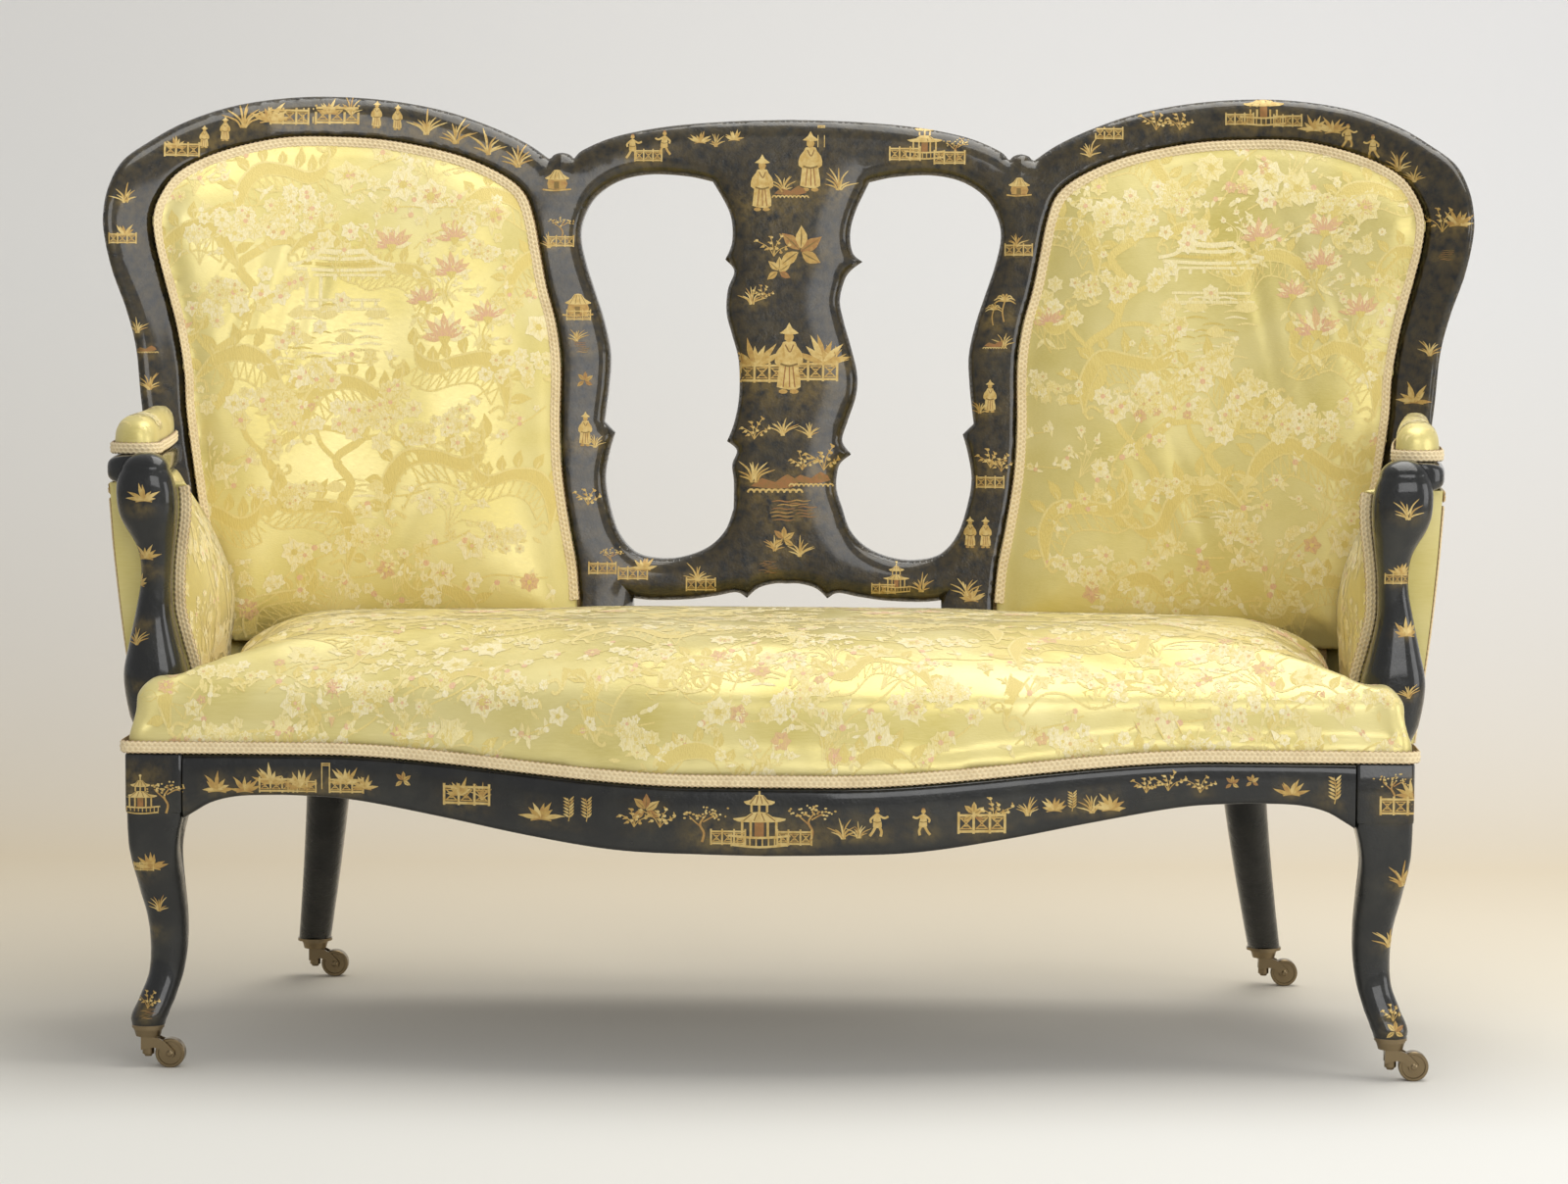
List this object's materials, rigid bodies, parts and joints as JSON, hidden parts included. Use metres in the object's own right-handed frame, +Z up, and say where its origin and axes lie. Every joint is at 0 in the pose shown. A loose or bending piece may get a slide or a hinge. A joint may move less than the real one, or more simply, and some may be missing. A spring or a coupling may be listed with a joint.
{
  "type": "settee",
  "caption": "Two-seat settee with a lacquered show-wood frame, padded side backs either side of an open carved centre, low padded arms, a sprung seat and swivelling casters.",
  "frame": {"origin": "middle of the settee's length and depth, on the floor under the caster wheels", "axes": "+X along the settee to its right-hand end as seen from the front, +Y towards its back, +Z up"},
  "size_m": [1.4908, 0.6865, 0.9983],
  "materials": {
    "lacquered_wood": "black lacquer with gilt decoration",
    "bare_beech": "bare, unfinished",
    "steel_wire": "plain drawn wire",
    "silk_brocade": "figured silk satin",
    "gimp_braid": "woven silk braid",
    "jute": "coarse plain weave",
    "horsehair": "loose curled hair and wadding",
    "black_cambric": "thin glazed cotton",
    "aged_brass": "dark patina, rubbed on the edges"
  },
  "bodies": {
    "frame": {"front_seat_rail": "lacquered_wood", "back_seat_rail": "lacquered_wood", "left_seat_rail": "lacquered_wood", "right_seat_rail": "lacquered_wood", "front_left_leg": "lacquered_wood", "front_right_leg": "lacquered_wood", "rear_left_leg": "lacquered_wood", "rear_right_leg": "lacquered_wood", "left_outer_stile": "lacquered_wood", "right_outer_stile": "lacquered_wood", "left_crest_rail": "lacquered_wood", "right_crest_rail": "lacquered_wood", "center_crest_rail": "lacquered_wood", "left_inner_stile": "lacquered_wood", "right_inner_stile": "lacquered_wood", "center_splat": "lacquered_wood", "lower_cross_rail": "lacquered_wood", "left_arm_support": "lacquered_wood", "right_arm_support": "lacquered_wood", "left_arm_rail": "lacquered_wood", "right_arm_rail": "lacquered_wood", "corner_blocks": "bare_beech", "frame_dowels": "bare_beech", "frame_screws": "steel_wire", "seat_springs": "steel_wire", "seat_cover": "silk_brocade", "left_back_pad": "silk_brocade", "right_back_pad": "silk_brocade", "left_outside_back": "silk_brocade", "right_outside_back": "silk_brocade", "left_inside_arm": "silk_brocade", "right_inside_arm": "silk_brocade", "left_outside_arm": "silk_brocade", "right_outside_arm": "silk_brocade", "left_arm_pad": "silk_brocade", "right_arm_pad": "silk_brocade", "seat_gimp": "gimp_braid", "back_gimps": "gimp_braid", "arm_gimps": "gimp_braid", "seat_webbing": "jute", "back_webbing": "jute", "seat_hessian": "jute", "seat_stuffing": "horsehair", "dust_cover": "black_cambric", "front_left_caster_cup": "aged_brass", "front_right_caster_cup": "aged_brass", "rear_left_caster_cup": "aged_brass", "rear_right_caster_cup": "aged_brass"},
    "front_left_horn": {"front_left_caster_horn": "aged_brass", "front_left_caster_axle": "aged_brass"},
    "front_left_wheel": {"front_left_caster_wheel": "aged_brass"},
    "front_right_horn": {"front_right_caster_horn": "aged_brass", "front_right_caster_axle": "aged_brass"},
    "front_right_wheel": {"front_right_caster_wheel": "aged_brass"},
    "rear_left_horn": {"rear_left_caster_horn": "aged_brass", "rear_left_caster_axle": "aged_brass"},
    "rear_left_wheel": {"rear_left_caster_wheel": "aged_brass"},
    "rear_right_horn": {"rear_right_caster_horn": "aged_brass", "rear_right_caster_axle": "aged_brass"},
    "rear_right_wheel": {"rear_right_caster_wheel": "aged_brass"}
  },
  "joints": [
    {"name": "front_left_swivel", "type": "hinge", "parent": "frame", "child": "front_left_horn", "pos_m": [-0.629, -0.27305, 0.0227], "axis": [0, 0, 1], "continuous": true},
    {"name": "front_left_roll", "type": "hinge", "parent": "front_left_horn", "child": "front_left_wheel", "pos_m": [-0.606, -0.27305, 0.015], "axis": [0, 1, 0], "continuous": true},
    {"name": "front_right_swivel", "type": "hinge", "parent": "frame", "child": "front_right_horn", "pos_m": [0.629, -0.27305, 0.0227], "axis": [0, 0, 1], "continuous": true},
    {"name": "front_right_roll", "type": "hinge", "parent": "front_right_horn", "child": "front_right_wheel", "pos_m": [0.652, -0.27305, 0.015], "axis": [0, 1, 0], "continuous": true},
    {"name": "rear_left_swivel", "type": "hinge", "parent": "frame", "child": "rear_left_horn", "pos_m": [-0.54, 0.30695, 0.0227], "axis": [0, 0, 1], "continuous": true},
    {"name": "rear_left_roll", "type": "hinge", "parent": "rear_left_horn", "child": "rear_left_wheel", "pos_m": [-0.517, 0.30695, 0.015], "axis": [0, 1, 0], "continuous": true},
    {"name": "rear_right_swivel", "type": "hinge", "parent": "frame", "child": "rear_right_horn", "pos_m": [0.54, 0.30695, 0.0227], "axis": [0, 0, 1], "continuous": true},
    {"name": "rear_right_roll", "type": "hinge", "parent": "rear_right_horn", "child": "rear_right_wheel", "pos_m": [0.563, 0.30695, 0.015], "axis": [0, 1, 0], "continuous": true}
  ]
}
